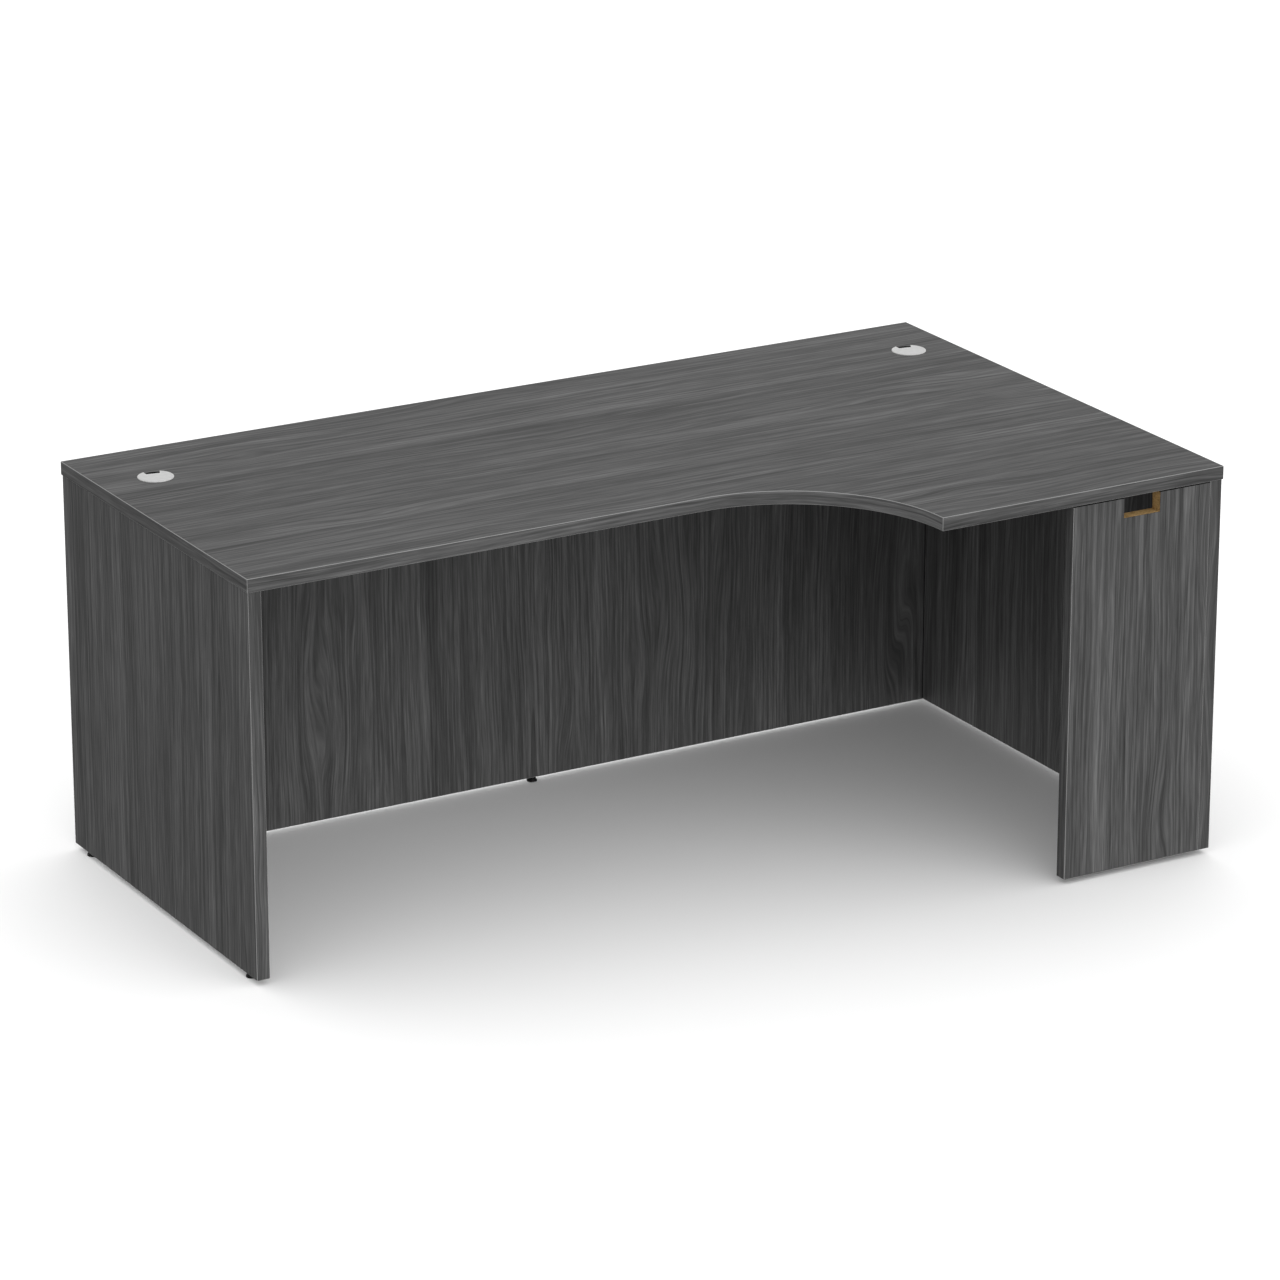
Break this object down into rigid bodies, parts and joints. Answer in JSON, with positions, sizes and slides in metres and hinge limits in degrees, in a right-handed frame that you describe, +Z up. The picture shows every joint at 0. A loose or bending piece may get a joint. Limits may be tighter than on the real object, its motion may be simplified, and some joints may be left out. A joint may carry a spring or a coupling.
{
  "type": "teacher desk",
  "caption": "Free-standing laminate desk, deeper at the right past a curved step, with full-height end, modesty and return panels, grommets and levelling glides.",
  "frame": {"origin": "on the floor, at the centre of the desk's bounding box", "axes": "+X to the seated user's right, the deep end; +Y away from the user, to the rear edge; +Z up"},
  "size_m": [1.8034, 1.0668, 0.7511],
  "materials": {
    "laminate_board": "dark grey wood-grain melamine laminate on particleboard, satin",
    "edge_band": "2 mm PVC edge band, dark grey wood grain, rounded edges",
    "dowel_wood": "plain beech",
    "cam_zinc": "cast zinc, nickel plated",
    "fastener_steel": "zinc-plated steel",
    "grommet_plastic": "silver-grey moulded plastic, satin",
    "glide_plastic": "black moulded plastic"
  },
  "bodies": {
    "desk": {"worktop_board": "laminate_board", "worktop_band_front": "edge_band", "worktop_band_return_front": "edge_band", "worktop_band_right": "edge_band", "worktop_band_rear": "edge_band", "worktop_band_left": "edge_band", "left_end_panel": "laminate_board", "left_end_band_front": "edge_band", "left_end_band_rear": "edge_band", "left_end_band_bottom": "edge_band", "right_end_panel": "laminate_board", "right_end_band_front": "edge_band", "right_end_band_rear": "edge_band", "right_end_band_bottom": "edge_band", "modesty_panel": "laminate_board", "modesty_band_bottom": "edge_band", "return_panel": "laminate_board", "return_band_side": "edge_band", "return_band_bottom": "edge_band", "glide_inserts": "fastener_steel", "worktop_cams": "cam_zinc", "worktop_cam_bolts": "fastener_steel", "worktop_dowels": "dowel_wood", "modesty_cams": "cam_zinc", "modesty_cam_bolts": "fastener_steel", "modesty_dowels": "dowel_wood", "return_cams": "cam_zinc", "return_cam_bolts": "fastener_steel", "return_dowels": "dowel_wood"},
    "left_rear_glide": {"left_rear_glide_foot": "glide_plastic", "left_rear_glide_stud": "fastener_steel"},
    "left_front_glide": {"left_front_glide_foot": "glide_plastic", "left_front_glide_stud": "fastener_steel"},
    "right_rear_glide": {"right_rear_glide_foot": "glide_plastic", "right_rear_glide_stud": "fastener_steel"},
    "right_front_glide": {"right_front_glide_foot": "glide_plastic", "right_front_glide_stud": "fastener_steel"},
    "modesty_glide": {"modesty_glide_foot": "glide_plastic", "modesty_glide_stud": "fastener_steel"},
    "left_grommet": {"left_grommet_cap": "grommet_plastic"},
    "right_grommet": {"right_grommet_cap": "grommet_plastic"}
  },
  "joints": [
    {"name": "left_rear_glide_screw", "type": "slide", "parent": "desk", "child": "left_rear_glide", "axis": [0, 0, -1], "range_m": [0, 0.019]},
    {"name": "left_front_glide_screw", "type": "slide", "parent": "desk", "child": "left_front_glide", "axis": [0, 0, -1], "range_m": [0, 0.019]},
    {"name": "right_rear_glide_screw", "type": "slide", "parent": "desk", "child": "right_rear_glide", "axis": [0, 0, -1], "range_m": [0, 0.019]},
    {"name": "right_front_glide_screw", "type": "slide", "parent": "desk", "child": "right_front_glide", "axis": [0, 0, -1], "range_m": [0, 0.019]},
    {"name": "modesty_glide_screw", "type": "slide", "parent": "desk", "child": "modesty_glide", "axis": [0, 0, -1], "range_m": [0, 0.019]},
    {"name": "left_grommet_turn", "type": "hinge", "parent": "desk", "child": "left_grommet", "pos_m": [-0.7922, 0.3639, 0.7493], "axis": [0, 0, 1], "continuous": true},
    {"name": "right_grommet_turn", "type": "hinge", "parent": "desk", "child": "right_grommet", "pos_m": [0.8007, 0.3639, 0.7493], "axis": [0, 0, 1], "continuous": true}
  ]
}
